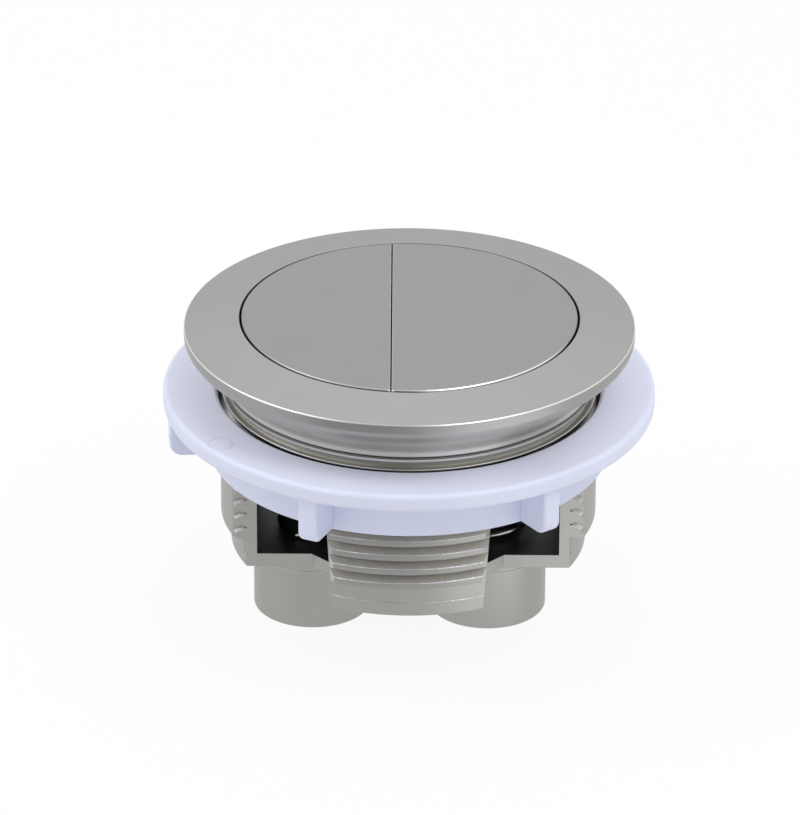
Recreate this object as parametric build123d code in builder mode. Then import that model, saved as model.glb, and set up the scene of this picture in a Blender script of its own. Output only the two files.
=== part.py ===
from build123d import *
from math import cos, pi, sin, sqrt
import os

# Dual-flush push button for a cistern lid, in millimetres, +Z up.
# The origin is on the barrel's axis, in the plane where the bezel's rim rests on the lid.

# Bezel ring
bezel_radius = 34.5
rim_height = 2.2  # outer top edge above the lid
bezel_rise = 1.4  # rise of the sloping top from the rim to the bore
rim_seat_width = 0.3  # flat ring under the rim, which rests on the lid
edge_break = 0.25
bore_radius = 25.95
neck_wall = 1.2  # at the foot of the neck
neck_depth = 6.3  # foot of the neck below the lid plane
neck_hollow = 0.15  # how far the neck curves in from a straight cone

# Head of the barrel, which carries the bezel ring
spigot_wall = 1.15
spigot_height = 4.4
spigot_clearance = 0.05
lip_step = 0.05
lip_height = 0.8
band_recess = 0.6
band_height = 0.95
bead_step = 0.4  # bead outside the lip
bead_height = 0.3

# Threaded barrel with its floor and four corner windows
barrel_wall = 1.4  # at the root of the thread
barrel_depth = 33.65  # underside of the floor below the lid plane
floor_thickness = 2.2
floor_rim_step = 0.1  # floor's rim outside the root of the thread
window_height = 20.55  # above the underside of the floor
tongue_half_width = 12.9  # front and back tongues at the top of the windows
tongue_foot_half_width = 11.4  # the same tongues at the floor
leg_half_width = 11.7  # side legs
leg_face_half_width = 10.9  # smooth outer face of a leg, between the notches at its edges
leg_face_step = 0.05  # the same face outside the thread's crest
web_leg = 3.2  # slanted web in the inner corner between a tongue and a leg

# Thread: a right-hand ridge, bevelled where it ends on the tongues; the legs' faces leave only notches of it
thread_pitch = 2.4
thread_depth = 1.6
crest_width = 0.95
root_width = 0.15  # plain strip between two turns of the ridge
ridge_root_overlap = 0.2
thread_start_angle = 180  # from +X, seen from above: the left leg
ridge_end_bevel = 0.7
plain_foot_height = 5.25  # floor's underside to the middle of the ridge where it starts
thread_runout = 1.5  # plain gap under the bead

# Guide tubes under the floor
small_tube_x = -14.8
large_tube_x = 12.3
tube_bore_radius = 7.5
tube_wall = 1.5
tube_length = 12.3
tube_collar_height = 2.4
tube_collar_step = 0.15
tube_edge_break = 0.4
guide_length = 6.0  # close bore that guides a stem, from the floor's top down
running_clearance = 0.08  # between a stem and its guide

# Clamp nut
nut_depth = 7.9  # top of the flange below the lid plane
nut_bore_clearance = 0.5  # bore over the thread's crest
nut_collar_wall = 1.55
nut_collar_height = 7.6
nut_flange_width = 6.75
nut_flange_thickness = 2.7
nut_lead_in = 0.5
nut_edge_break = 0.4
lug_count = 6
lug_first_angle = -114.3  # from +X, seen from above
lug_setback = 0.75  # inside the flange's edge
lug_thickness = 3.0
lug_corner_radius = 2.0
lug_root_overlap = 0.6

# Split button: two caps with a gap between them
cap_gap = 0.3  # between the two caps
bore_gap = 0.3  # between a cap and the bezel's bore
split_x = -2.75
cap_proud = 0.1  # top of the caps above the bore's edge
cap_height = 7.0
cap_roof = 1.8
cap_wall = 1.5
cap_edge_radius = 0.4
split_edge_radius = 0.15  # along the split
seat_clearance = 0.1  # between a cap and the carrier inside it
snap_length = 6.0
snap_height = 0.8
snap_reach = 0.5
snap_clearance = 0.05

# Plungers: a carrier plate under each cap, a hub for the spring and a stem
carrier_thickness = 2.2
hub_height = 9.3  # below the carrier plate
hub_margin = 0.5  # outside the spring
rib_width = 1.6
rib_height = 5.0
rib_setback = 1.5  # inside the carrier's edge
stem_radius = 5.4
stem_tail = 1.05  # below the clip
rod_socket_radius = 2.5  # core of the thread that a push rod screws into
rod_socket_length = 18.0

# Stem clips
clip_stop_gap = 0.3  # below the guide's end
clip_thickness = 0.8
clip_clearance = 0.5  # inside the tube's bore
clip_groove_depth = 0.8
clip_groove_play = 0.1
clip_fit = 0.05
clip_mouth = 7.0

# Return springs
spring_clearance = 1.2  # between the stem and the wire
spring_wire = 0.9
spring_turns = 4
spring_end_gap = 0.1
spring_start_angle = -110  # from +X, seen from above
runs_per_turn = 16
wire_sides = 8

# Radii that follow from the sizes above
barrel_root_radius = bore_radius + barrel_wall
floor_radius = barrel_root_radius + floor_rim_step
ridge_width = thread_pitch - root_width
crest_radius = barrel_root_radius + thread_depth
spigot_radius = bore_radius + spigot_wall
neck_radius = spigot_radius + spigot_clearance + neck_wall
lip_radius = neck_radius + lip_step
band_radius = lip_radius - band_recess
bead_radius = lip_radius + bead_step
tube_radius = tube_bore_radius + tube_wall
nut_bore_radius = crest_radius + nut_bore_clearance
nut_collar_radius = nut_bore_radius + nut_collar_wall
nut_flange_radius = nut_collar_radius + nut_flange_width
cap_radius = bore_radius - bore_gap
carrier_radius = cap_radius - cap_wall - seat_clearance
groove_radius = stem_radius - clip_groove_depth
clip_radius = tube_bore_radius - clip_clearance
coil_radius = stem_radius + spring_clearance + spring_wire / 2
hub_radius = coil_radius + spring_wire / 2 + hub_margin

# Heights that follow from the sizes above
bore_edge_z = rim_height + bezel_rise
cap_top_z = bore_edge_z + cap_proud
carrier_top_z = cap_top_z - cap_roof
carrier_bottom_z = carrier_top_z - carrier_thickness
hub_bottom_z = carrier_bottom_z - hub_height
shoulder_z = -neck_depth
spigot_top_z = shoulder_z + spigot_height
lip_bottom_z = shoulder_z - lip_height
band_bottom_z = lip_bottom_z - band_height
bead_bottom_z = band_bottom_z - bead_height
flange_top_z = -nut_depth
flange_bottom_z = flange_top_z - nut_flange_thickness
collar_bottom_z = flange_bottom_z - nut_collar_height
floor_bottom_z = -barrel_depth
floor_top_z = floor_bottom_z + floor_thickness
tube_end_z = floor_bottom_z - tube_length
guide_end_z = floor_top_z - guide_length
clip_top_z = guide_end_z - clip_stop_gap
stem_end_z = clip_top_z - clip_thickness - stem_tail
thread_start_z = floor_bottom_z + plain_foot_height
thread_end_z = bead_bottom_z - thread_runout
window_top_z = floor_bottom_z + window_height
leg_face_bottom_z = thread_start_z - crest_width / 2

os.makedirs("parts", exist_ok=True)


def window_outline(tongue):
    """Plan of the front right corner window, with the bevel that ends the tongue's ridges."""
    reach = crest_radius + thread_depth
    crest_end = tongue - ridge_end_bevel
    return [
        (tongue + web_leg, -leg_half_width),
        (tongue, -leg_half_width - web_leg),
        (tongue, -sqrt(barrel_root_radius**2 - tongue**2)),
        (crest_end, -sqrt(crest_radius**2 - crest_end**2)),
        (crest_end, -reach),
        (reach, -reach),
        (reach, -leg_half_width),
    ]


def button_outline(radius, flat_gap, side):
    """Disc cut straight along the split. side is -1 for the small button, 1 for the large one."""
    Circle(radius)
    with Locations((split_x + side * (flat_gap - radius), 0)):
        Rectangle(2 * radius, 2 * radius, mode=Mode.SUBTRACT)


# Bezel ring
with BuildPart() as bezel_ring:
    neck_top = bezel_radius - edge_break - rim_seat_width
    with BuildSketch(Plane.XZ):
        with BuildLine():
            Polyline(
                (neck_top, 0),
                (bezel_radius - edge_break, 0),
                (bezel_radius, edge_break),
                (bezel_radius, rim_height - edge_break),
                (bezel_radius - edge_break, rim_height),
                (bore_radius + edge_break, bore_edge_z),
                (bore_radius, bore_edge_z - edge_break),
                (bore_radius, spigot_top_z),
                (spigot_radius + spigot_clearance, spigot_top_z),
                (spigot_radius + spigot_clearance, shoulder_z),
                (neck_radius, shoulder_z),
            )
            SagittaArc((neck_radius, shoulder_z), (neck_top, 0), neck_hollow)
        make_face()
    revolve(axis=Axis.Z)
bezel_ring.part.label = "bezel_ring"
export_step(bezel_ring.part, "parts/bezel_ring.step")

# Thread ridge, from the left leg up to the bead
with BuildPart() as thread:
    with BuildLine(Plane.XY.offset(thread_start_z)) as ridge_path:
        Helix(thread_pitch, thread_end_z - thread_start_z, barrel_root_radius)
    with BuildSketch(Plane(ridge_path.line @ 0, x_dir=(1, 0, 0), z_dir=ridge_path.line % 0)):
        with BuildLine():
            Polyline(
                (-ridge_root_overlap, -ridge_width / 2),
                (thread_depth, -crest_width / 2),
                (thread_depth, crest_width / 2),
                (-ridge_root_overlap, ridge_width / 2),
                close=True,
            )
        make_face()
    sweep(path=ridge_path.line, is_frenet=True)

# Corner windows, through the wall and the floor
with BuildPart() as windows:
    with BuildSketch(Plane.XY.offset(window_top_z)):
        with BuildLine():
            Polyline(*window_outline(tongue_half_width), close=True)
        make_face()
    with BuildSketch(Plane.XY.offset(floor_bottom_z)):
        with BuildLine():
            Polyline(*window_outline(tongue_foot_half_width), close=True)
        make_face()
    loft()
    mirror(about=Plane.XZ)
    mirror(about=Plane.YZ)

# Barrel
with BuildPart() as barrel:
    with BuildSketch(Plane.XZ):
        with BuildLine():
            Polyline(
                (0, floor_bottom_z),
                (floor_radius, floor_bottom_z),
                (floor_radius, floor_top_z),
                (barrel_root_radius, floor_top_z),
                (barrel_root_radius, bead_bottom_z),
                (bead_radius, bead_bottom_z),
                (bead_radius, band_bottom_z),
                (band_radius, band_bottom_z),
                (band_radius, lip_bottom_z),
                (lip_radius, lip_bottom_z),
                (lip_radius, shoulder_z),
                (spigot_radius, shoulder_z),
                (spigot_radius, spigot_top_z),
                (bore_radius, spigot_top_z),
                (bore_radius, floor_top_z),
                (0, floor_top_z),
                close=True,
            )
        make_face()
    revolve(axis=Axis.Z)
    add(thread.part, rotation=(0, 0, thread_start_angle))
    with BuildSketch(Plane.XY.offset(leg_face_bottom_z)):
        Circle(crest_radius + leg_face_step)
        Circle(barrel_root_radius - ridge_root_overlap, mode=Mode.SUBTRACT)
        Rectangle(3 * crest_radius, 2 * leg_face_half_width, mode=Mode.INTERSECT)
    extrude(amount=window_top_z - leg_face_bottom_z)
    add(windows.part, mode=Mode.SUBTRACT)
    tube_places = [(small_tube_x, 0), (large_tube_x, 0)]
    with BuildSketch(Plane.XY.offset(floor_bottom_z)):
        with Locations(*tube_places):
            Circle(tube_radius + tube_collar_step)
    extrude(amount=-tube_collar_height)
    with BuildSketch(Plane.XY.offset(floor_bottom_z)):
        with Locations(*tube_places):
            Circle(tube_radius)
    extrude(amount=-tube_length)
    with BuildSketch(Plane.XY.offset(tube_end_z)):
        with Locations(*tube_places):
            Circle(tube_bore_radius)
    extrude(amount=guide_end_z - tube_end_z, mode=Mode.SUBTRACT)
    with BuildSketch(Plane.XY.offset(guide_end_z)):
        with Locations(*tube_places):
            Circle(stem_radius + running_clearance)
    extrude(amount=guide_length, mode=Mode.SUBTRACT)
    tube_ends = barrel.faces().sort_by(Axis.Z)[:2]
    chamfer([end.outer_wire().edges() for end in tube_ends], tube_edge_break)
barrel.part.label = "barrel"
export_step(barrel.part, "parts/barrel.step")

# Clamp nut
with BuildPart() as clamp_nut:
    with BuildSketch(Plane.XZ):
        with BuildLine():
            Polyline(
                (nut_bore_radius, collar_bottom_z),
                (nut_collar_radius, collar_bottom_z),
                (nut_collar_radius, flange_bottom_z),
                (nut_flange_radius - nut_edge_break, flange_bottom_z),
                (nut_flange_radius, flange_bottom_z + nut_edge_break),
                (nut_flange_radius, flange_top_z - nut_edge_break),
                (nut_flange_radius - nut_edge_break, flange_top_z),
                (nut_bore_radius + nut_lead_in, flange_top_z),
                (nut_bore_radius, flange_top_z - nut_lead_in),
                close=True,
            )
        make_face()
    revolve(axis=Axis.Z)
    lug_root = nut_collar_radius - lug_root_overlap
    lug_radius = nut_flange_radius - lug_setback
    for lug in range(lug_count):
        angle = (lug_first_angle + lug * 360 / lug_count) * pi / 180
        radial = (cos(angle), sin(angle), 0)
        across = (sin(angle), -cos(angle), 0)
        with BuildSketch(Plane((0, 0, 0), x_dir=radial, z_dir=across)):
            with BuildLine():
                FilletPolyline(
                    (lug_root, flange_bottom_z),
                    (lug_root, collar_bottom_z),
                    (lug_radius, collar_bottom_z),
                    (lug_radius, flange_bottom_z),
                    radius=(0, lug_corner_radius),
                )
                Line((lug_radius, flange_bottom_z), (lug_root, flange_bottom_z))
            make_face()
        extrude(amount=lug_thickness / 2, both=True)
clamp_nut.part.label = "clamp_nut"
export_step(clamp_nut.part, "parts/clamp_nut.step")

# The two buttons, each with its cap, plunger, clip and spring
for name, side, tube_x in (("small", -1, small_tube_x), ("large", 1, large_tube_x)):
    wall_gap = cap_gap / 2 + cap_wall
    carrier_gap = wall_gap + seat_clearance

    with BuildPart() as cap:
        with BuildSketch(Plane.XY.offset(cap_top_z)):
            button_outline(cap_radius, cap_gap / 2, side)
        extrude(amount=-cap_height)
        fillet(cap.faces().sort_by(Axis.Z)[-1].edges().filter_by(GeomType.CIRCLE), cap_edge_radius)
        fillet(cap.faces().sort_by(Axis.Z)[-1].edges().filter_by(Axis.Y), split_edge_radius)
        with BuildSketch(Plane.XY.offset(carrier_top_z)):
            button_outline(cap_radius - cap_wall, wall_gap, side)
        extrude(amount=cap_roof - cap_height, mode=Mode.SUBTRACT)
        with BuildSketch(Plane.XY.offset(carrier_bottom_z - snap_clearance)):
            with Locations((split_x + side * wall_gap, 0), (side * (cap_radius - cap_wall), 0)):
                Rectangle(2 * snap_reach, snap_length)
        extrude(amount=-snap_height)
    cap.part.label = f"{name}_button_cap"
    export_step(cap.part, f"parts/{name}_button_cap.step")

    with BuildPart() as plunger:
        with BuildSketch(Plane.XY.offset(carrier_top_z)):
            button_outline(carrier_radius, carrier_gap, side)
        extrude(amount=-carrier_thickness)
        with BuildSketch(Plane.XY.offset(carrier_bottom_z)):
            rib_ends = (split_x + side * (carrier_gap + rib_setback), side * (carrier_radius - rib_setback))
            with Locations((sum(rib_ends) / 2, 0)):
                Rectangle(abs(rib_ends[1] - rib_ends[0]), rib_width)
            with Locations((tube_x, 0)):
                Rectangle(rib_width, 2 * (sqrt(carrier_radius**2 - tube_x**2) - rib_setback))
        extrude(amount=-rib_height)
        with BuildSketch(Plane.XY.offset(hub_bottom_z)):
            with Locations((tube_x, 0)):
                Circle(hub_radius)
        extrude(amount=hub_height)
        with BuildSketch(Plane.XY.offset(stem_end_z)):
            with Locations((tube_x, 0)):
                Circle(stem_radius)
        extrude(amount=hub_bottom_z - stem_end_z)
        with BuildSketch(Plane.XY.offset(stem_end_z)):
            with Locations((tube_x, 0)):
                Circle(rod_socket_radius)
        extrude(amount=rod_socket_length, mode=Mode.SUBTRACT)
        with BuildSketch(Plane.XY.offset(clip_top_z + clip_groove_play / 2)):
            with Locations((tube_x, 0)):
                Circle(stem_radius + clip_groove_depth)
                Circle(groove_radius, mode=Mode.SUBTRACT)
        extrude(amount=-clip_thickness - clip_groove_play, mode=Mode.SUBTRACT)
    plunger.part.label = f"{name}_plunger"
    export_step(plunger.part, f"parts/{name}_plunger.step")

    with BuildPart() as clip:
        with BuildSketch(Plane.XY.offset(clip_top_z)):
            with Locations((tube_x, 0)):
                Circle(clip_radius)
                Circle(groove_radius + clip_fit, mode=Mode.SUBTRACT)
            with Locations((tube_x, -clip_radius)):
                Rectangle(clip_mouth, 2 * clip_radius, mode=Mode.SUBTRACT)
        extrude(amount=-clip_thickness)
    clip.part.label = f"{name}_stem_clip"
    export_step(clip.part, f"parts/{name}_stem_clip.step")

    # The wire is drawn as short straight runs that follow the coil.
    with BuildPart() as spring:
        low_z = floor_top_z + spring_end_gap + spring_wire / 2
        high_z = hub_bottom_z - spring_end_gap - spring_wire / 2
        runs = spring_turns * runs_per_turn
        with BuildLine() as wire_path:
            coil_points = []
            for run in range(runs + 1):
                angle = (spring_start_angle + 360 * run / runs_per_turn) * pi / 180
                height = low_z + (high_z - low_z) * run / runs
                coil_points.append((tube_x + coil_radius * cos(angle), coil_radius * sin(angle), height))
            Polyline(*coil_points)
        with BuildSketch(Plane(wire_path.line @ 0, z_dir=wire_path.line % 0)):
            RegularPolygon(spring_wire / 2, wire_sides)
        sweep(path=wire_path.line, transition=Transition.RIGHT)
    spring.part.label = f"{name}_return_spring"
    export_step(spring.part, f"parts/{name}_return_spring.step")
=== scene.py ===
from math import acos, asin, cos, pi, radians, sin, sqrt, tan

import bmesh
import bpy
from mathutils import Matrix, Vector


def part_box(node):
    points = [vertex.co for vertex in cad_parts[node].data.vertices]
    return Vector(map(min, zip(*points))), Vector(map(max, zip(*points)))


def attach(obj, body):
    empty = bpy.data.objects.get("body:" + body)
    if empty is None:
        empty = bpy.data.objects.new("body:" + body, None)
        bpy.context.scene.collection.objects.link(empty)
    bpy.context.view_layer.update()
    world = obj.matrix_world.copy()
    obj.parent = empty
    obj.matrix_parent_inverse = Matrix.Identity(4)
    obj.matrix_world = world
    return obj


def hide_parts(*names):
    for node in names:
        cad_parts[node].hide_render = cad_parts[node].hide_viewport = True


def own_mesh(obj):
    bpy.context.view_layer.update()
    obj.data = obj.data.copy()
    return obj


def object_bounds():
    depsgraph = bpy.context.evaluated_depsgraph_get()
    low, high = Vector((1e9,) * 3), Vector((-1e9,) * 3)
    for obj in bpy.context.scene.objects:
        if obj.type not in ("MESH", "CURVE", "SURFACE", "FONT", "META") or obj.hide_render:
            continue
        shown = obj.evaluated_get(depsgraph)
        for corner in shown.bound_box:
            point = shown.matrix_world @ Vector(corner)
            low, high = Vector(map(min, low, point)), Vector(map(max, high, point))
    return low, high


# Dual-flush push button for a cistern lid, dressed on its frame. Lengths are in metres.
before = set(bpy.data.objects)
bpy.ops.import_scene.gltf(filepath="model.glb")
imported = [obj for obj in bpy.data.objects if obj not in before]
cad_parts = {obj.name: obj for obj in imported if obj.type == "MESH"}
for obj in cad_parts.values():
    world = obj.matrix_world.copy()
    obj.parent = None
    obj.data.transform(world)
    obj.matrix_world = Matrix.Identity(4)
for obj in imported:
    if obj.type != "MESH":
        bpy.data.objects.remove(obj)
cad_low, cad_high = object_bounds()
mm = 0.001

# Sizes read from the frame
bezel_low, bezel_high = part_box("bezel_ring")
barrel_low, barrel_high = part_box("barrel")
nut_low, nut_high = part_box("clamp_nut")
small_cap_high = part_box("small_button_cap")[1]
large_cap_low, large_cap_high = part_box("large_button_cap")
spring_low, spring_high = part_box("large_return_spring")
large_clip_low, large_clip_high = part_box("large_stem_clip")
small_clip_low, small_clip_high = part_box("small_stem_clip")

# Bezel ring
bezel_radius = bezel_high.x
bore_edge_z = bezel_high.z
shoulder_z = bezel_low.z
rim_height = 2.2 * mm
rim_side_foot_z = 0.9 * mm
rim_edge_radius = 0.3 * mm
bore_radius = 25.95 * mm
bore_edge_radius = 0.25 * mm
neck_radius = 28.35 * mm
neck_straight = 0.6 * mm
neck_bend_arm = 2.0 * mm
neck_foot_radius = 0.25 * mm
spigot_clearance = 0.05 * mm

# Head of the barrel, which carries the bezel ring
spigot_top_z = barrel_high.z
spigot_radius = 27.1 * mm
lip_radius = 28.4 * mm
lip_height = 0.8 * mm
band_recess = 0.6 * mm
band_height = 0.95 * mm
bead_radius = 28.8 * mm
bead_height = 0.3 * mm
head_edge_radius = 0.12 * mm
band_radius = lip_radius - band_recess
lip_bottom_z = shoulder_z - lip_height
band_bottom_z = lip_bottom_z - band_height
bead_bottom_z = band_bottom_z - bead_height

# Barrel with its floor and four corner windows
crest_radius = barrel_high.y
leg_face_radius = barrel_high.x
tube_end_z = barrel_low.z
tube_length = 12.3 * mm
floor_bottom_z = tube_end_z + tube_length
floor_thickness = 2.2 * mm
floor_top_z = floor_bottom_z + floor_thickness
floor_rim_step = 0.1 * mm
window_height = 20.55 * mm
window_top_z = floor_bottom_z + window_height
tongue_half_width = 12.9 * mm
tongue_foot_half_width = 11.4 * mm
leg_half_width = 11.7 * mm
leg_face_half_width = 10.9 * mm
leg_foot_overlap = 0.5 * mm
web_leg = 3.2 * mm

# Thread on the barrel
thread_pitch = 2.4 * mm
thread_depth = 1.6 * mm
root_radius = crest_radius - thread_depth
floor_radius = root_radius + floor_rim_step
crest_width = 0.95 * mm
crest_edge_radius = 0.2 * mm
ridge_root_width = 2.25 * mm
ridge_root_overlap = 0.2 * mm
ridge_end_bevel = 0.7 * mm
plain_foot_height = 5.25 * mm
thread_runout = 1.5 * mm
thread_start_z = floor_bottom_z + plain_foot_height
thread_end_z = bead_bottom_z - thread_runout
thread_start_angle = 180
leg_face_bottom_z = thread_start_z - crest_width / 2

# Guide tubes under the barrel's floor
small_tube_x = (small_clip_low.x + small_clip_high.x) / 2
large_tube_x = (large_clip_low.x + large_clip_high.x) / 2
tube_radius = 9.0 * mm
tube_bore_radius = 7.5 * mm
tube_root_overlap = 0.5 * mm
tube_ledge_drop = 2.4 * mm
tube_ledge_width = 0.15 * mm
tube_ledge_edge_radius = 0.9 * tube_ledge_width
tube_edge_radius = 0.5 * mm
guide_bore_radius = 5.48 * mm
guide_length = 6.0 * mm
guide_end_z = floor_top_z - guide_length

# Clamp nut
flange_radius = nut_high.x
flange_top_z = nut_high.z
collar_bottom_z = nut_low.z
flange_thickness = 2.7 * mm
flange_bottom_z = flange_top_z - flange_thickness
flange_top_edge_radius = 0.8 * mm
flange_foot_edge_radius = 0.5 * mm
collar_radius = 31.0 * mm
collar_edge_radius = 0.3 * mm
nut_bore_radius = 29.45 * mm
nut_lead_in = 0.5 * mm
lug_count = 6
lug_first_angle = -114.3
lug_setback = 0.75 * mm
lug_thickness = 3.0 * mm
lug_corner_radius = 2.0 * mm
lug_edge_radius = 0.45 * mm
lug_overlap = 0.6 * mm
gate_mark_angle = 216.3
gate_mark_place = 35.1 * mm
gate_mark_radius = 1.9 * mm
gate_mark_width = 0.35 * mm
gate_mark_depth = 0.12 * mm

# Button caps
rim_closing = 0.12 * mm
cap_radius = large_cap_high.x + rim_closing
cap_top_z = large_cap_high.z
cap_bottom_z = large_cap_low.z
split_closing = 0.07 * mm
small_cap_flat = small_cap_high.x + split_closing
large_cap_flat = large_cap_low.x - split_closing
split_x = (small_cap_flat + large_cap_flat) / 2
cap_roof = 1.8 * mm
cap_wall = 1.5 * mm
cap_edge_radius = 0.4 * mm
split_edge_radius = 0.22 * mm
snap_drop = 4.05 * mm
snap_top_z = cap_top_z - snap_drop
snap_height = 0.8 * mm
snap_reach = 0.5 * mm
snap_length = 6.0 * mm

# Return springs
spring_wire = 0.9 * mm
spring_turns = 4
spring_start_angle = -110
coil_radius = 7.05 * mm

# Fineness of the meshes
turned_steps = 256
leg_half_steps = 32
ridge_steps_per_turn = 192
ridge_round_steps = 3
coil_steps_per_turn = 96
wire_steps = 16
round_steps = 6
bend_steps = 24
gate_mark_steps = 64
cut_overrun = 1.0 * mm
weld_distance = 1e-4 * mm
sharp_angle = radians(30)


# Outlines

def rounded(corners, steps=round_steps):
    """Closed outline through corners given as (x, y) or as (x, y, radius of the rounding)."""
    outline = []
    for index, corner in enumerate(corners):
        here = Vector(corner[:2])
        radius = corner[2] if len(corner) == 3 else 0
        if not radius:
            outline.append(here)
            continue
        before = (Vector(corners[index - 1][:2]) - here).normalized()
        after = (Vector(corners[(index + 1) % len(corners)][:2]) - here).normalized()
        half_angle = before.angle(after) / 2
        centre = here + (before + after).normalized() * radius / sin(half_angle)
        arm = here + before * radius / tan(half_angle) - centre
        turn = -arm.angle_signed(here + after * radius / tan(half_angle) - centre)
        for step in range(steps + 1):
            outline.append(centre + Matrix.Rotation(turn * step / steps, 2) @ arm)
    return outline


def bent(start, start_arm, end_arm, end):
    """Points between two ends on a curve that leaves each end along its arm."""
    points = []
    for step in range(1, bend_steps):
        share = step / bend_steps
        rest = 1 - share
        outer = Vector(start) * rest**3 + Vector(end) * share**3
        inner = (Vector(start) + Vector(start_arm)) * rest + (Vector(end) + Vector(end_arm)) * share
        points.append(outer + 3 * share * rest * inner)
    return points


def circle(radius, place):
    angles = [2 * pi * step / turned_steps for step in range(turned_steps)]
    return [(place[0] + radius * cos(angle), place[1] + radius * sin(angle)) for angle in angles]


def button_outline(flat, side, rim_inset=0, split_inset=0):
    """Cap seen from above: a disc cut straight at x = flat, with insets at its rim and at the split."""
    radius = cap_radius - rim_inset
    half_turn = acos((side * flat + split_inset) / radius)
    steps = turned_steps // 2
    angles = [half_turn * (2 * step / steps - 1) for step in range(steps + 1)]
    return [(side * radius * cos(angle), radius * sin(angle)) for angle in angles]


def edge_inset(radius, drop):
    """How far a rounded top edge is drawn in at a drop below the top."""
    rise = max(radius - drop, 0)
    return radius - sqrt(radius**2 - rise**2)


def window_outline(tongue):
    """Front right corner window seen from above, with the bevel that ends the tongue's ridges."""
    reach = crest_radius + thread_depth
    crest_end = tongue - ridge_end_bevel
    return [
        (tongue + web_leg, -leg_half_width),
        (tongue, -leg_half_width - web_leg),
        (tongue, -sqrt(root_radius**2 - tongue**2)),
        (crest_end, -sqrt(crest_radius**2 - crest_end**2)),
        (crest_end, -reach),
        (reach, -reach),
        (reach, -leg_half_width),
    ]


def leg_outline(side, face_radius):
    """Smooth outer face of a leg seen from above, rooted in the barrel's wall."""
    outline = []
    for radius, turn in ((face_radius, 1), (root_radius - ridge_root_overlap, -1)):
        half_angle = asin(leg_face_half_width / radius)
        for step in range(-leg_half_steps, leg_half_steps + 1):
            angle = turn * half_angle * step / leg_half_steps
            outline.append((side * radius * cos(angle), radius * sin(angle)))
    return outline


def lug_outline(inset):
    """Side of a nut lug, drawn in by an inset at its free edges."""
    root = collar_radius - lug_overlap
    end = flange_radius - lug_setback - inset
    return rounded([
        (root, flange_bottom_z + lug_overlap),
        (root, collar_bottom_z + inset),
        (end, collar_bottom_z + inset, lug_corner_radius - inset),
        (end, flange_bottom_z + lug_overlap),
    ])


def lug_slices():
    """Places across a lug's thickness, each with the inset of its rounded edges there."""
    flat_half = lug_thickness / 2 - lug_edge_radius
    slices = []
    for side in (-1, 1):
        for step in range(round_steps + 1):
            lean = pi / 2 * (step / round_steps if side > 0 else 1 - step / round_steps)
            offset = side * (flat_half + lug_edge_radius * sin(lean))
            slices.append((offset, lug_edge_radius * (1 - cos(lean))))
    return slices


# Meshes

def solid(name, rings, ring_closed):
    """Closed mesh through rings of points. Unless the rings close on themselves, both ends are capped."""
    shape = bmesh.new()
    loops = [[shape.verts.new(point) for point in ring] for ring in rings]
    pairs = list(zip(loops, loops[1:]))
    if ring_closed:
        pairs.append((loops[-1], loops[0]))
    else:
        shape.faces.new(loops[0])
        shape.faces.new(loops[-1])
    for lower, upper in pairs:
        for index in range(len(lower)):
            shape.faces.new((lower[index - 1], lower[index], upper[index], upper[index - 1]))
    bmesh.ops.remove_doubles(shape, verts=shape.verts, dist=weld_distance)
    bmesh.ops.recalc_face_normals(shape, faces=shape.faces)
    mesh = bpy.data.meshes.new(name)
    shape.to_mesh(mesh)
    shape.free()
    piece = bpy.data.objects.new(name, mesh)
    bpy.context.scene.collection.objects.link(piece)
    return piece


def turned(name, outline, place=(0, 0), steps=turned_steps):
    """Outline of (radius, height) points turned about an upright axis."""
    rings = []
    for step in range(steps):
        angle = 2 * pi * step / steps
        rings.append([(place[0] + r * cos(angle), place[1] + r * sin(angle), z) for r, z in outline])
    return solid(name, rings, True)


def layered(name, layers):
    """Solid through outlines that lie at given heights."""
    return solid(name, [[(x, y, z) for x, y in outline] for outline, z in layers], False)


def column(name, radius, low_z, high_z, place):
    """Plain upright cylinder."""
    return layered(name, [(circle(radius, place), low_z), (circle(radius, place), high_z)])


def wound(name, section, axis_x, radius, low_z, high_z, turns, start_angle, steps_per_turn):
    """Section of (outward, upward) points wound up a right-hand helix."""
    rings = []
    steps = round(turns * steps_per_turn)
    for step in range(steps + 1):
        angle = radians(start_angle) + 2 * pi * turns * step / steps
        height = low_z + (high_z - low_z) * step / steps
        rings.append([
            (axis_x + (radius + out) * cos(angle), (radius + out) * sin(angle), height + up)
            for out, up in section
        ])
    return solid(name, rings, False)


def combine(piece, tool, operation):
    """Unites the tool with the piece or cuts it out of the piece, and uses it up."""
    step = piece.modifiers.new(operation, "BOOLEAN")
    step.operation = operation
    step.solver = "MANIFOLD"
    step.object = tool
    graph = bpy.context.evaluated_depsgraph_get()
    mesh = bpy.data.meshes.new_from_object(piece.evaluated_get(graph))
    piece.modifiers.clear()
    piece.data = mesh
    bpy.data.objects.remove(tool)


def smooth(piece):
    """Smooth shading with sharp edges at corners, and broad faces kept flat."""
    piece.data.shade_smooth()
    piece.data.set_sharp_from_angle(angle=sharp_angle)
    even = piece.modifiers.new("even_normals", "WEIGHTED_NORMAL")
    even.keep_sharp = True


# Pieces

def make_bezel():
    seat_radius = spigot_radius + spigot_clearance
    neck_bend = (neck_radius, shoulder_z + neck_straight)
    rim_side_foot = (bezel_radius, rim_side_foot_z)
    return turned("bezel", rounded([
        (neck_radius, shoulder_z, neck_foot_radius),
        neck_bend,
        *bent(neck_bend, (0, neck_bend_arm), (0, -neck_bend_arm), rim_side_foot),
        rim_side_foot,
        (bezel_radius, rim_height, rim_edge_radius),
        (bore_radius, bore_edge_z, bore_edge_radius),
        (bore_radius, spigot_top_z),
        (seat_radius, spigot_top_z),
        (seat_radius, shoulder_z),
    ]))


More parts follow.
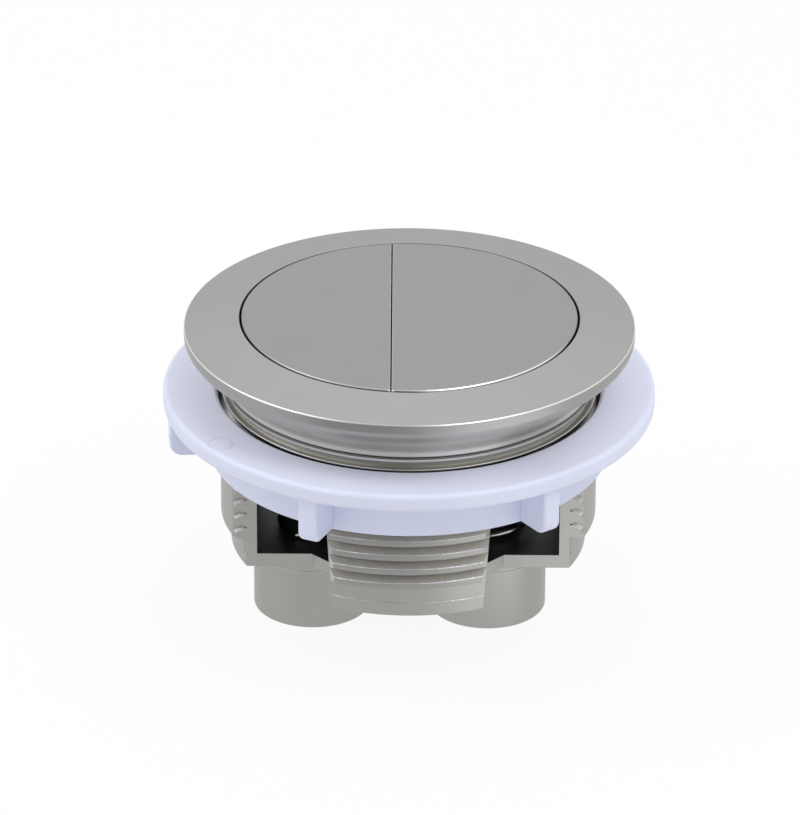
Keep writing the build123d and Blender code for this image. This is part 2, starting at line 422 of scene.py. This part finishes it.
def make_barrel():
    barrel = turned("barrel_body", rounded([
        (0, floor_bottom_z),
        (floor_radius, floor_bottom_z, head_edge_radius),
        (floor_radius, floor_top_z, floor_rim_step / 2),
        (root_radius, floor_top_z),
        (root_radius, bead_bottom_z),
        (bead_radius, bead_bottom_z, head_edge_radius),
        (bead_radius, band_bottom_z, head_edge_radius),
        (band_radius, band_bottom_z),
        (band_radius, lip_bottom_z),
        (lip_radius, lip_bottom_z, head_edge_radius),
        (lip_radius, shoulder_z, 2 * head_edge_radius),
        (spigot_radius, shoulder_z),
        (spigot_radius, spigot_top_z),
        (bore_radius, spigot_top_z),
        (bore_radius, floor_top_z),
        (0, floor_top_z),
    ]))
    add_thread(barrel)
    add_legs(barrel)
    cut_windows(barrel)
    for tube_x in (small_tube_x, large_tube_x):
        add_tube(barrel, (tube_x, 0))
    return barrel


def add_thread(barrel):
    section = rounded([
        (-ridge_root_overlap, -ridge_root_width / 2),
        (thread_depth, -crest_width / 2, crest_edge_radius),
        (thread_depth, crest_width / 2, crest_edge_radius),
        (-ridge_root_overlap, ridge_root_width / 2),
    ], ridge_round_steps)
    turns = (thread_end_z - thread_start_z) / thread_pitch
    ridge = wound("ridge", section, 0, root_radius, thread_start_z, thread_end_z, turns,
                  thread_start_angle, ridge_steps_per_turn)
    combine(barrel, ridge, "UNION")


def add_legs(barrel):
    """Smooth faces over the thread on both legs, and feet that run on down to the floor's rim."""
    foot_low_z = floor_bottom_z + leg_foot_overlap
    foot_high_z = leg_face_bottom_z + leg_foot_overlap
    for side in (-1, 1):
        face = leg_outline(side, leg_face_radius)
        foot = leg_outline(side, floor_radius)
        combine(barrel, layered("leg_face", [(face, leg_face_bottom_z), (face, window_top_z)]), "UNION")
        combine(barrel, layered("leg_foot", [(foot, foot_low_z), (foot, foot_high_z)]), "UNION")


def cut_windows(barrel):
    outlines = (window_outline(tongue_half_width), window_outline(tongue_foot_half_width))
    heights = (window_top_z, floor_bottom_z - cut_overrun)
    for side_x in (-1, 1):
        for side_y in (-1, 1):
            layers = [
                ([(side_x * x, side_y * y) for x, y in outline], z)
                for outline, z in zip(outlines, heights)
            ]
            combine(barrel, layered("window", layers), "DIFFERENCE")


def add_tube(barrel, place):
    """Guide tube under the floor, with a ledge round it, its wide bore and the close bore above."""
    root_z = floor_bottom_z + tube_root_overlap
    ledge_radius = tube_radius + tube_ledge_width
    ledge_z = floor_bottom_z - tube_ledge_drop
    tube = turned("tube", rounded([
        (0, root_z),
        (0, tube_end_z),
        (ledge_radius, tube_end_z, tube_edge_radius),
        (ledge_radius, ledge_z, tube_ledge_edge_radius),
        (tube_radius, ledge_z),
        (tube_radius, root_z),
    ]), place)
    combine(barrel, tube, "UNION")
    bore = column("bore", tube_bore_radius, tube_end_z - cut_overrun, guide_end_z, place)
    combine(barrel, bore, "DIFFERENCE")
    guide = column("guide", guide_bore_radius, guide_end_z - cut_overrun, floor_top_z + cut_overrun, place)
    combine(barrel, guide, "DIFFERENCE")


def make_nut():
    nut = turned("nut", rounded([
        (nut_bore_radius, collar_bottom_z, collar_edge_radius),
        (collar_radius, collar_bottom_z, collar_edge_radius),
        (collar_radius, flange_bottom_z, collar_edge_radius),
        (flange_radius, flange_bottom_z, flange_foot_edge_radius),
        (flange_radius, flange_top_z, flange_top_edge_radius),
        (nut_bore_radius + nut_lead_in, flange_top_z, collar_edge_radius),
        (nut_bore_radius, flange_top_z - nut_lead_in),
    ]))
    for lug in range(lug_count):
        angle = radians(lug_first_angle + lug * 360 / lug_count)
        outward = Vector((cos(angle), sin(angle), 0))
        across = Vector((-sin(angle), cos(angle), 0))
        rings = [
            [outward * r + across * offset + Vector((0, 0, z)) for r, z in lug_outline(inset)]
            for offset, inset in lug_slices()
        ]
        combine(nut, solid("lug", rings, False), "UNION")
    mark_angle = radians(gate_mark_angle)
    mark_place = (gate_mark_place * cos(mark_angle), gate_mark_place * sin(mark_angle))
    mark = turned("mark", [
        (gate_mark_radius - gate_mark_width, flange_top_z + gate_mark_depth),
        (gate_mark_radius, flange_top_z - gate_mark_depth),
        (gate_mark_radius + gate_mark_width, flange_top_z + gate_mark_depth),
    ], mark_place, gate_mark_steps)
    combine(nut, mark, "DIFFERENCE")
    return nut


def make_cap(name, flat, side):
    layers = []
    for step in range(round_steps + 1):
        drop = cap_edge_radius * (1 - cos(pi / 2 * step / round_steps))
        rim_inset = edge_inset(cap_edge_radius, drop)
        split_inset = edge_inset(split_edge_radius, drop)
        layers.append((button_outline(flat, side, rim_inset, split_inset), cap_top_z - drop))
    layers.append((button_outline(flat, side), cap_bottom_z))
    layers.append((button_outline(flat, side, cap_wall, cap_wall), cap_bottom_z))
    layers.append((button_outline(flat, side, cap_wall, cap_wall), cap_top_z - cap_roof))
    cap = layered(name, layers)
    for face_x in (flat + side * cap_wall, side * (cap_radius - cap_wall)):
        outline = [
            (face_x + dx * snap_reach, dy * snap_length / 2)
            for dx, dy in ((-1, -1), (1, -1), (1, 1), (-1, 1))
        ]
        snap = layered("snap", [(outline, snap_top_z - snap_height), (outline, snap_top_z)])
        combine(cap, snap, "UNION")
    return cap


def make_spring(name, tube_x):
    angles = [2 * pi * step / wire_steps for step in range(wire_steps)]
    section = [(spring_wire / 2 * cos(angle), spring_wire / 2 * sin(angle)) for angle in angles]
    return wound(name, section, tube_x, coil_radius, spring_low.z + spring_wire / 2,
                 spring_high.z - spring_wire / 2, spring_turns, spring_start_angle, coil_steps_per_turn)


# Finishes

class Socket:
    """A node's output that takes part in sums, so that a pattern on a surface reads as plain maths."""

    def __init__(self, tree, output):
        self.tree = tree
        self.output = output

    @classmethod
    def add(cls, tree, kind, settings=None, inputs=None, output=0):
        """One output of a new node: its settings are set first, then its sockets' values or links."""
        node = tree.nodes.new(kind)
        for name, value in (settings or {}).items():
            setattr(node, name, value)
        for name, value in (inputs or {}).items():
            if isinstance(value, Socket):
                tree.links.new(value.output, node.inputs[name])
            else:
                node.inputs[name].default_value = value
        return cls(tree, node.outputs[output]) if node.outputs else None

    def maths(self, operation, first, second):
        return self.add(self.tree, "ShaderNodeMath", {"operation": operation}, {0: first, 1: second})

    def __add__(self, other):
        return self.maths("ADD", self, other)

    def __radd__(self, other):
        return self.maths("ADD", other, self)

    def __sub__(self, other):
        return self.maths("SUBTRACT", self, other)

    def __rsub__(self, other):
        return self.maths("SUBTRACT", other, self)

    def __mul__(self, other):
        return self.maths("MULTIPLY", self, other)

    def __rmul__(self, other):
        return self.maths("MULTIPLY", other, self)

    def __lt__(self, other):
        return self.maths("LESS_THAN", self, other)

    def __gt__(self, other):
        return self.maths("GREATER_THAN", self, other)

    def ramp(self, low, high):
        """Soft step from 0 at the low value to 1 at the high one."""
        settings = {"interpolation_type": "SMOOTHSTEP"}
        inputs = {"Value": self, "From Min": low, "From Max": high}
        return self.add(self.tree, "ShaderNodeMapRange", settings, inputs)

    def near(self, centre, width):
        """1 at the centre, falling softly to 0 a width away on either side."""
        away = self - centre
        return (away * away).ramp(width**2, 0)


class Finish:
    """A material under way: its node tree, and the places on the piece that patterns start from."""

    def __init__(self, name):
        self.material = bpy.data.materials.new(name)
        self.material.use_nodes = True
        self.tree = self.material.node_tree
        self.tree.nodes.clear()
        self.place = self.add("ShaderNodeTexCoord", output="Object")
        self.facing = self.add("ShaderNodeTexCoord", output="Normal")

    def add(self, kind, settings=None, inputs=None, output=0):
        return Socket.add(self.tree, kind, settings, inputs, output)

    def along(self, axis):
        """Height or distance along one of the piece's axes."""
        return self.add("ShaderNodeSeparateXYZ", None, {"Vector": self.place}, axis)

    def leaning(self, axis):
        """How far the surface faces along one of the piece's axes, from -1 to 1."""
        return self.add("ShaderNodeSeparateXYZ", None, {"Vector": self.facing}, axis)

    def from_axis(self):
        """Distance from the barrel's axis."""
        flat = self.add("ShaderNodeVectorMath", {"operation": "MULTIPLY"}, {0: self.place, 1: (1, 1, 0)})
        return self.add("ShaderNodeVectorMath", {"operation": "LENGTH"}, {0: flat}, "Value")

    def bearing(self):
        """Angle round the barrel's axis, 0 at the front and growing to the right."""
        side = self.along("X")
        return side.maths("ARCTAN2", side, self.along("Y") * -1)

    def grain(self, size, detail=2.0):
        """Noise from 0 to 1 whose lumps are of about that size."""
        inputs = {"Vector": self.place, "Scale": 1 / size, "Detail": detail}
        return self.add("ShaderNodeTexNoise", {"noise_dimensions": "3D"}, inputs)

    def rings(self, size):
        """Noise that runs round the axis, as a turned or brushed surface has it."""
        plan = self.add("ShaderNodeCombineXYZ", None, {"X": self.from_axis(), "Y": self.along("Z")})
        inputs = {"Vector": plan, "Scale": 1 / size, "Detail": 2.0}
        return self.add("ShaderNodeTexNoise", {"noise_dimensions": "2D"}, inputs)

    def blend(self, share, first, second):
        """Colour that goes from the first to the second with the share."""
        return self.add("ShaderNodeMix", {"data_type": "RGBA"}, {0: share, 6: first, 7: second}, 2)

    def mixed(self, share, first, second):
        """Shader that goes from the first to the second with the share."""
        return self.add("ShaderNodeMixShader", None, {0: share, 1: first, 2: second})

    def bumped(self, height, distance, normal=None):
        inputs = {"Height": height, "Distance": distance, "Strength": 1.0}
        if normal:
            inputs["Normal"] = normal
        return self.add("ShaderNodeBump", None, inputs)

    def soft_edges(self, radius):
        return self.add("ShaderNodeBevel", {"samples": 6}, {"Radius": radius})

    def top_edges(self, normal):
        """Rounded edges between an upright face and a level one, where the plate gets a painted highlight
        that also stands for polish.
        """
        lean = self.add("ShaderNodeSeparateXYZ", None, {"Vector": normal}, "Z")
        return lean.ramp(0.15, 0.4) * lean.ramp(0.92, 0.75)

    def surface(self, **inputs):
        return self.add("ShaderNodeBsdfPrincipled", None, inputs)

    def shown(self, shader):
        self.add("ShaderNodeOutputMaterial", None, {"Surface": shader})
        return self.material


# Tones and grain that the nickel finishes share: the edge tone is a painted highlight that also stands for
# polish, the gap and seam tones are painted shade, the bright plate tone is painted light
edge_highlight_and_polish = (0.88, 0.88, 0.87, 1)
gap_shade = (0.10, 0.10, 0.10, 1)
seam_shade = (0.19, 0.19, 0.18, 1)
painted_light_plate = (0.95, 0.93, 0.89, 1)
satin = 0.36
polish = 0.12
plate_cloud = 6 * mm
plate_grain = 0.12 * mm
plate_bump = 0.004 * mm

# Places on the caps where the edges get a painted highlight, which also stands for polish from fingers
split_highlight_reach = 0.6 * mm
large_highlight_full_x = 6 * mm
front_highlight_start_y = -8 * mm
front_highlight_full_y = -16 * mm


def cap_nickel():
    """Satin nickel with a very fine grain, painted shade on the walls in the gap, and a painted highlight,
    partly polish, along the top edge at the split and at the large cap's front.
    """
    finish = Finish("cap_nickel")
    cloud = finish.grain(plate_cloud, 3.0)
    fine = finish.grain(plate_grain)
    lean = finish.leaning("Z")
    across = finish.along("X")
    on_large = across.ramp(0, large_highlight_full_x)
    at_split = across.near(split_x, split_highlight_reach)
    at_front = finish.along("Y").ramp(front_highlight_start_y, front_highlight_full_y)
    # Places with the painted edge highlight: the split and the large cap's front
    highlit_place = at_split + (1 - at_split) * on_large * at_front
    edges = finish.top_edges(finish.facing) * (highlit_place + 0.1 * (1 - highlit_place) * at_front)
    # Painted shade on the walls in the gap, kept narrower where the edge highlight is painted
    plain_wall = lean.ramp(0.75, 0.5)
    handled_wall = lean.ramp(0.45, 0.15)
    wall = plain_wall + (handled_wall - plain_wall) * highlit_place
    colour = finish.blend(cloud, (0.350, 0.352, 0.358, 1), (0.375, 0.377, 0.383, 1))
    colour = finish.blend(wall, colour, gap_shade)
    return finish.shown(finish.surface(**{
        "Base Color": finish.blend(edges, colour, edge_highlight_and_polish),
        "Metallic": 1.0,
        "Roughness": satin + (cloud - 0.5) * 0.08 + (fine - 0.5) * 0.06 - edges * polish,
        "Normal": finish.bumped(fine, plate_bump),
    }))


# Places on the bezel's neck, by height and by bearing from the front, for its painted reflection, painted
# light and shade patches and painted seam shade
front_shade_bearing = radians(-6)
front_shade_width = radians(18)
neck_light_bearing = radians(16)
neck_shade_bearing = radians(42)
neck_patch_width = radians(16)
neck_start_z = -0.6 * mm
neck_reflection_start_z = -0.3 * mm
neck_reflection_full_z = -3.4 * mm
neck_seam_height = 0.22 * mm
neck_seam_dark_height = 0.05 * mm
rim_highlight_inset = 1.0 * mm
turning_mark = 0.35 * mm


def bezel_nickel():
    """Satin nickel with faint turning marks on the neck under the rim. The neck carries a painted reflection
    of the nut with painted lit and shaded patches by bearing, the seam and bore edge carry painted shade, and
    the rim's top edge a painted highlight, partly polish, fainter at the front.
    """
    finish = Finish("bezel_nickel")
    cloud = finish.grain(plate_cloud, 3.0)
    fine = finish.grain(plate_grain)
    radius = finish.from_axis()
    height = finish.along("Z")
    bearing = finish.bearing()
    at_front = bearing.near(front_shade_bearing, front_shade_width)
    on_rim = radius > bore_radius + rim_highlight_inset
    # Painted highlight, partly polish, along the rim's top edge, fainter at the front
    edges = finish.top_edges(finish.facing) * on_rim * (1 - 0.8 * at_front)
    # Painted shade at the bore's edge and in the seam at the neck's foot
    in_bore = radius < bore_radius + 0.5 * bore_edge_radius
    shade_at_foot = height.ramp(shoulder_z + neck_seam_height, shoulder_z + neck_seam_dark_height)
    on_neck = height.ramp(rim_side_foot_z, neck_start_z)
    low_on_neck = height.ramp(neck_reflection_start_z, neck_reflection_full_z)
    # Painted reflection of the white nut on the neck, weaker in the front's shade
    neck_reflection_share = low_on_neck + 0.45 * (1 - low_on_neck) * on_neck * (1 - at_front)
    # Painted lit and shaded patches on the neck, set by bearing
    neck_painted_light = bearing.near(neck_light_bearing, neck_patch_width)
    neck_painted_shade = bearing.near(neck_shade_bearing, neck_patch_width)
    marks = finish.rings(turning_mark) * on_neck
    top_colour = finish.blend(cloud, (0.405, 0.405, 0.400, 1), (0.435, 0.435, 0.430, 1))
    neck_reflection_colour = finish.blend(marks, (0.84, 0.815, 0.75, 1), (0.90, 0.875, 0.81, 1))
    neck_reflection_colour = finish.blend(neck_painted_light, neck_reflection_colour, (0.97, 0.95, 0.89, 1))
    neck_reflection_colour = finish.blend(neck_painted_shade, neck_reflection_colour, (0.68, 0.66, 0.60, 1))
    colour = finish.blend(on_neck, top_colour, (0.44, 0.42, 0.375, 1))
    colour = finish.blend(neck_reflection_share, colour, neck_reflection_colour)
    colour = finish.blend(in_bore, colour, gap_shade)
    colour = finish.blend(shade_at_foot, colour, seam_shade)
    return finish.shown(finish.surface(**{
        "Base Color": finish.blend(edges, colour, edge_highlight_and_polish),
        "Metallic": 1.0,
        "Roughness": satin + (cloud - 0.5) * 0.08 + (marks + 1.4 * on_neck) * 0.1 - edges * polish,
        "Normal": finish.bumped(fine + marks * 0.8, plate_bump),
    }))


# Places and grain of the barrel's plate
tongue_depth = 20 * mm
crest_margin = 0.1 * mm
notch_margin = 0.2 * mm
leg_foot_top_z = floor_top_z + 1.0 * mm
leg_foot_bottom_z = floor_bottom_z - 0.1 * mm
ledge_line_width = 0.3 * mm
groove_start_z = thread_end_z - 1.0 * mm
groove_full_z = thread_end_z + 0.5 * mm
band_margin = 0.05 * mm
face_margin = 0.02 * mm
lip_seam_height = 0.32 * mm
sparkle_size = 0.4 * mm
barrel_cloud = 5 * mm
barrel_grain = 0.15 * mm
barrel_bump = 0.005 * mm
barrel_soft_edge = 0.12 * mm


def on_tongues(finish):
    """1 on the front and back tongues and on the wall above them."""
    across = finish.along("X")
    depth = finish.along("Y")
    return (across * across < tongue_half_width**2) * (depth * depth > tongue_depth**2)


def on_tube_ledges(finish):
    """Soft line along the ledge round each guide tube, which gets painted light and a less metallic plate."""
    level = finish.along("Z").near(floor_bottom_z - tube_ledge_drop, ledge_line_width)
    return level * (finish.leaning("Z") > 0.1)


def in_leg_notches(finish):
    """1 on the upper faces of the notches at the legs' edges."""
    radius = finish.from_axis()
    on_leg = (1 - on_tongues(finish)) * (finish.along("Z") < window_top_z)
    in_ridge = (radius < crest_radius - notch_margin) * (radius > root_radius + notch_margin)
    return on_leg * (finish.leaning("Z") > 0.3) * in_ridge


def in_lip_seam(finish):
    """1 at the top of the lip, in the seam under the bezel ring, where shade is painted."""
    return finish.along("Z") > shoulder_z - lip_seam_height


def barrel_edge_highlights(finish, normal):
    """Painted highlight along the top edges, partly polish, broken by sparkle on the tongues and left out at
    the legs' feet and in the seam.
    """
    height = finish.along("Z")
    tongues = on_tongues(finish)
    leg_feet = (1 - tongues) * (height < leg_foot_top_z) * (height > leg_foot_bottom_z)
    sparkle = finish.grain(sparkle_size).ramp(0.35, 0.6)
    edges = finish.top_edges(normal) * (1 - leg_feet) * (1 - in_lip_seam(finish))
    return edges * (1 - 0.6 * tongues * (1 - sparkle))


def barrel_colour(finish, cloud):
    """Plate with painted light on the ridges' upper flanks and bevelled ends, the ledges and the head,
    painted shade on the tongues' crests, in the groove and in the seam, and a lighter tone in the band.
    """
    height = finish.along("Z")
    radius = finish.from_axis()
    aside = finish.leaning("X")
    tongues = on_tongues(finish)
    on_ridge = radius > floor_radius
    on_crest = tongues * (radius > crest_radius - crest_margin)
    on_flank = (finish.leaning("Z") > 0.88) * on_ridge
    on_bevel = tongues * (aside * aside > 0.25) * on_ridge
    # Painted shade in the groove under the head
    shade_in_groove = height.ramp(groove_start_z, groove_full_z)
    on_head = height > bead_bottom_z - face_margin
    in_band = (height < lip_bottom_z) * (height > band_bottom_z - band_margin)
    colour = finish.blend(cloud, (0.42, 0.414, 0.398, 1), (0.47, 0.464, 0.448, 1))
    # Painted light and painted shade laid on the plate one tone at a time
    for share, tone in (
        (on_crest, (0.39, 0.387, 0.374, 1)),
        (on_flank + on_bevel * 0.35, painted_light_plate),
        (on_tube_ledges(finish), painted_light_plate),
        (shade_in_groove, gap_shade),
        (on_head, painted_light_plate),
        (in_band, (0.50, 0.49, 0.455, 1)),
        (in_lip_seam(finish), seam_shade),
    ):
        colour = finish.blend(share, colour, tone)
    return colour


def barrel_nickel():
    """Satin nickel plate outside, bare black moulding inside."""
    finish = Finish("barrel_nickel")
    cloud = finish.grain(barrel_cloud, 3.0)
    fine = finish.grain(barrel_grain)
    softened = finish.soft_edges(barrel_soft_edge)
    edges = barrel_edge_highlights(finish, softened)
    dull = in_leg_notches(finish) + on_tube_ledges(finish)
    plate = finish.surface(**{
        "Base Color": finish.blend(edges, barrel_colour(finish, cloud), edge_highlight_and_polish),
        "Metallic": 1 - dull * 0.8,
        "Roughness": satin + (cloud - 0.5) * 0.1 + (fine - 0.5) * 0.08 - edges * polish,
        "Normal": finish.bumped(fine, barrel_bump, softened),
    })
    bare = finish.surface(**{
        "Base Color": finish.blend(cloud, (0.022, 0.023, 0.026, 1), (0.030, 0.031, 0.034, 1)),
        "Roughness": 0.4 + (cloud - 0.5) * 0.1,
        "Specular IOR Level": 0.5,
    })
    above_floor = finish.along("Z") > floor_top_z - face_margin
    inside = (finish.from_axis() < bore_radius + face_margin) * above_floor
    return finish.shown(finish.mixed(inside, plate, bare))


# Grain of the nut, the black moulding and the spring steel
nut_cloud = 9 * mm
nut_grain = 0.25 * mm
nut_soft_edge = 0.6 * mm
black_cloud = 4 * mm
black_grain = 0.2 * mm
moulded_bump = 0.006 * mm
steel_cloud = 2 * mm
steel_grain = 0.08 * mm
steel_bump = 0.003 * mm


def nut_white():
    """White moulded plastic with a cool cast."""
    finish = Finish("nut_white")
    cloud = finish.grain(nut_cloud)
    fine = finish.grain(nut_grain)
    return finish.shown(finish.surface(**{
        "Base Color": finish.blend(cloud, (0.68, 0.71, 0.87, 1), (0.72, 0.75, 0.91, 1)),
        "Roughness": 0.42 + (cloud - 0.5) * 0.1,
        "Normal": finish.bumped(fine, moulded_bump, finish.soft_edges(nut_soft_edge)),
    }))


def black_moulding():
    finish = Finish("black_moulding")
    cloud = finish.grain(black_cloud)
    fine = finish.grain(black_grain)
    return finish.shown(finish.surface(**{
        "Base Color": finish.blend(cloud, (0.018, 0.019, 0.021, 1), (0.026, 0.027, 0.029, 1)),
        "Roughness": 0.34 + (cloud - 0.5) * 0.12,
        "Normal": finish.bumped(fine, moulded_bump),
    }))


def spring_steel():
    finish = Finish("spring_steel")
    cloud = finish.grain(steel_cloud)
    drawn = finish.grain(steel_grain)
    return finish.shown(finish.surface(**{
        "Base Color": finish.blend(cloud, (0.58, 0.58, 0.58, 1), (0.70, 0.70, 0.69, 1)),
        "Metallic": 1.0,
        "Roughness": 0.24 + (cloud - 0.5) * 0.1,
        "Normal": finish.bumped(drawn, steel_bump),
    }))


# Dressing of the frame

def dress(piece, material):
    piece.data.materials.clear()
    piece.data.materials.append(material)


def place_piece(piece, body, node, material):
    """Puts a made piece in the node's stead, on its body and in its finish."""
    smooth(piece)
    dress(piece, material)
    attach(piece, body)
    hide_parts(node)


cap_finish = cap_nickel()
black_finish = black_moulding()
steel_finish = spring_steel()
place_piece(make_bezel(), "housing", "bezel_ring", bezel_nickel())
place_piece(make_barrel(), "housing", "barrel", barrel_nickel())
place_piece(make_nut(), "nut", "clamp_nut", nut_white())
for size, flat, side, tube_x in (
    ("small", small_cap_flat, -1, small_tube_x),
    ("large", large_cap_flat, 1, large_tube_x),
):
    body = f"{size}_button"
    place_piece(make_cap(f"{size}_cap", flat, side), body, f"{size}_button_cap", cap_finish)
    spring = make_spring(f"{size}_spring", tube_x)
    place_piece(spring, "housing", f"{size}_return_spring", steel_finish)
    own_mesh(spring)
    dress(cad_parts[f"{size}_plunger"], black_finish)
    dress(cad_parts[f"{size}_stem_clip"], steel_finish)

# Floor: a wide pale table. What the metal reflects of it has one shaded and one lit patch.
# A patch gives its glow, bearing and half width in degrees, and the distances where it starts and is full.
floor_z = cad_low.z
floor_reach = 3.0
floor_paint = (0.80, 0.80, 0.80, 1)
floor_glow_share = 0.92
white = (1, 1, 1, 1)
seen_glow = 1.0
reflected_glow = 0.8
reflected_patches = (
    (0.36, -20, 38, 60 * mm, 115 * mm),
    (1.28, 44, 32, 0, 70 * mm),
)


def floor_finish():
    """Paint that holds the shadow, under a glow that only camera, mirror and clear rays meet; in mirror rays
    the glow carries the painted shaded and lit patches.
    """
    finish = Finish("floor_paint")
    paint = finish.add("ShaderNodeBsdfDiffuse", None, {"Color": floor_paint})
    bearing = finish.bearing()
    distance = finish.from_axis()
    camera, glossy, transmission = (
        finish.add("ShaderNodeLightPath", output=f"Is {ray} Ray")
        for ray in ("Camera", "Glossy", "Transmission")
    )
    reflected = finish.add("ShaderNodeEmission", None, {"Color": white, "Strength": reflected_glow})
    for strength, centre, width, start, full in reflected_patches:
        patch = finish.add("ShaderNodeEmission", None, {"Color": white, "Strength": strength})
        share = bearing.near(radians(centre), radians(width)) * distance.ramp(start, full)
        reflected = finish.mixed(share, reflected, patch)
    plain = finish.add("ShaderNodeEmission", None, {"Color": white, "Strength": seen_glow})
    glow = finish.mixed(glossy, plain, reflected)
    seen = camera + glossy + transmission
    return finish.shown(finish.mixed(seen * floor_glow_share, paint, glow))


def make_floor():
    corners = [(-1, -1), (1, -1), (1, 1), (-1, 1)]
    mesh = bpy.data.meshes.new("floor")
    mesh.from_pydata([(x * floor_reach, y * floor_reach, floor_z) for x, y in corners], [], [(0, 1, 2, 3)])
    floor = bpy.data.objects.new("floor", mesh)
    bpy.context.scene.collection.objects.link(floor)
    dress(floor, floor_finish())


# Soft light all round, brighter overhead and with a shaded part low in front
low_sky = 0.66
high_sky = 1.2
shaded_sky = 0.3
sky_shade_bearing = radians(-8)
sky_shade_width = radians(24)
sky_shade_end = 0.95
sky_shade_full = 0.7


def make_world():
    world = bpy.data.worlds.new("studio")
    world.use_nodes = True
    tree = world.node_tree
    tree.nodes.clear()
    toward = Socket.add(tree, "ShaderNodeTexCoord", output="Generated")
    side, depth, height = (
        Socket.add(tree, "ShaderNodeSeparateXYZ", None, {"Vector": toward}, axis) for axis in ("X", "Y", "Z")
    )
    low, high, shaded = (
        Socket.add(tree, "ShaderNodeBackground", None, {"Color": white, "Strength": strength})
        for strength in (low_sky, high_sky, shaded_sky)
    )
    sky = Socket.add(tree, "ShaderNodeMixShader", None, {0: height, 1: low, 2: high})
    bearing = side.maths("ARCTAN2", side, depth * -1)
    share = bearing.near(sky_shade_bearing, sky_shade_width) * height.ramp(sky_shade_end, sky_shade_full)
    sky = Socket.add(tree, "ShaderNodeMixShader", None, {0: share, 1: sky, 2: shaded})
    Socket.add(tree, "ShaderNodeOutputWorld", None, {"Surface": sky})
    bpy.context.scene.world = world


def make_lamp(name, place, size, power):
    """Square soft lamp that points at the origin."""
    lamp = bpy.data.lights.new(name, "AREA")
    lamp.shape = "RECTANGLE"
    lamp.size = size
    lamp.size_y = size
    lamp.energy = power
    holder = bpy.data.objects.new(name, lamp)
    holder.location = place
    holder.rotation_euler = (-Vector(place)).to_track_quat("-Z", "Y").to_euler()
    bpy.context.scene.collection.objects.link(holder)


# Camera: the photograph's angle, on a long lens
camera_distance = 1.0
camera_elevation = radians(26.78)
camera_roll = radians(0.35)
camera_aim = Vector((-1.37 * mm, 0, -12.12 * mm))
camera_lens = 287.1
camera_sensor = 36
camera_near = 0.05


def make_camera():
    lens = bpy.data.cameras.new("camera")
    lens.lens = camera_lens
    lens.sensor_width = camera_sensor
    lens.clip_start = camera_near
    camera = bpy.data.objects.new("camera", lens)
    back = Vector((0, -cos(camera_elevation), sin(camera_elevation)))
    camera.location = camera_aim + back * camera_distance
    look = (-back).to_track_quat("-Z", "Y")
    camera.rotation_mode = "QUATERNION"
    camera.rotation_quaternion = look @ Matrix.Rotation(camera_roll, 3, "Z").to_quaternion()
    bpy.context.scene.collection.objects.link(camera)
    bpy.context.scene.camera = camera


make_floor()
make_world()
make_lamp("left", place=(-0.43, 0, 0.42), size=0.3, power=0.63)
make_lamp("right", place=(0.25, -0.2, 0.51), size=0.25, power=0.74)
make_camera()
bpy.context.scene.view_settings.view_transform = "Standard"
